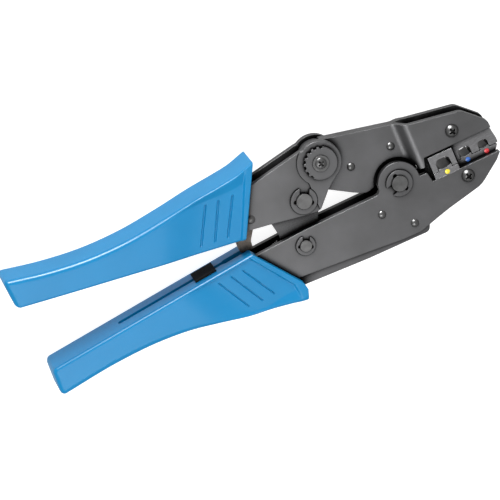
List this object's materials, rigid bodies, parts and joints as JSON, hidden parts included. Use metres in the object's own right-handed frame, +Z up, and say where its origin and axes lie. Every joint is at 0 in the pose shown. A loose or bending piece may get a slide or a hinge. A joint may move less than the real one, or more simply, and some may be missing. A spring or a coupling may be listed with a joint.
{
  "type": "ratchet crimping tool",
  "caption": "Hand crimping tool with a toggle linkage, ratchet release, notched adjuster wheel, insulated-lug crimp nests and moulded plastic grips, shown closed.",
  "frame": {"origin": "centre of the closed tool's outline, on the surface it lies on", "axes": "+X from the handle ends to the nose along the die parting line, +Y from the fixed handle to the moving handle, +Z up through the thickness, out of the side with the adjuster wheel"},
  "size_m": [0.2256, 0.0694, 0.021],
  "materials": {
    "plate_steel": "satin, dark oiled",
    "hardware_steel": "satin",
    "die_steel": "fine ground",
    "spring_steel": "drawn wire",
    "pawl_steel": "tempered",
    "grip_plastic": "satin moulded",
    "stop_rubber": "matte",
    "dot_yellow": "enamel",
    "dot_blue": "enamel",
    "dot_red": "enamel"
  },
  "bodies": {
    "frame": {"frame_plate_front": "plate_steel", "frame_plate_rear": "plate_steel", "frame_spacer": "plate_steel", "frame_bush": "hardware_steel", "frame_rivets": "hardware_steel", "frame_tail_core": "plate_steel", "frame_tail_rivets": "hardware_steel", "jaw_pivot_pin": "hardware_steel", "jaw_pivot_clips": "plate_steel", "link_pin_lower": "hardware_steel", "link_pin_lower_clips": "plate_steel", "lower_die": "die_steel", "lower_die_screw": "hardware_steel", "lower_die_nut": "plate_steel", "die_dot_yellow": "dot_yellow", "die_dot_blue": "dot_blue", "die_dot_red": "dot_red", "lower_grip": "grip_plastic", "handle_stop": "stop_rubber", "return_spring": "spring_steel", "spring_anchor_pin": "hardware_steel"},
    "jaw": {"jaw_plate_front": "plate_steel", "jaw_plate_rear": "plate_steel", "jaw_rivets": "hardware_steel", "jaw_pivot_bush": "hardware_steel", "upper_die": "die_steel", "upper_die_screw": "hardware_steel", "upper_die_nut": "plate_steel"},
    "handle": {"handle_plate_front": "plate_steel", "handle_plate_rear": "plate_steel", "handle_tail_core": "plate_steel", "handle_tail_rivets": "hardware_steel", "link_pin_upper": "hardware_steel", "link_pin_upper_clips": "plate_steel", "upper_grip": "grip_plastic", "pawl_pin": "hardware_steel", "pawl_spring": "spring_steel", "adjuster_plate": "plate_steel"},
    "adjuster": {"adjust_wheel": "plate_steel", "adjust_shaft": "hardware_steel", "adjust_screw": "hardware_steel", "adjust_rear_washer": "plate_steel"},
    "link": {"toggle_link": "plate_steel", "link_washers": "hardware_steel"},
    "pawl": {"release_pawl": "pawl_steel"}
  },
  "joints": [
    {"name": "toggle_swing", "type": "hinge", "parent": "frame", "child": "link", "pos_m": [0.01585, -0.0117, 0.0105], "axis": [0, 0, 1], "range_deg": [0, 25], "deforming": ["return_spring"]},
    {"name": "handle_swing", "type": "hinge", "parent": "link", "child": "handle", "pos_m": [0.02285, 0.0075, 0.0105], "axis": [0, 0, 1], "range_deg": [-51.6, 0]},
    {"name": "jaw_swing", "type": "hinge", "parent": "frame", "child": "jaw", "pos_m": [0.06485, -0.0037, 0.0105], "axis": [0, 0, 1], "range_deg": [0, 10.5]},
    {"name": "pawl_swing", "type": "hinge", "parent": "handle", "child": "pawl", "pos_m": [-0.00185, 0.0099, 0.0105], "axis": [0, 0, 1], "range_deg": [-12, 12], "stiffness_Nm_per_rad": 0.03},
    {"name": "wheel_turn", "type": "hinge", "parent": "handle", "child": "adjuster", "pos_m": [0.03605, 0.0206, 0.0105], "axis": [0, 0, 1], "range_deg": [-60, 60]}
  ],
  "couplings": [
    {"joint": "handle_swing", "follows": "toggle_swing", "ratio": -2.063},
    {"joint": "jaw_swing", "follows": "toggle_swing", "ratio": 0.42}
  ]
}
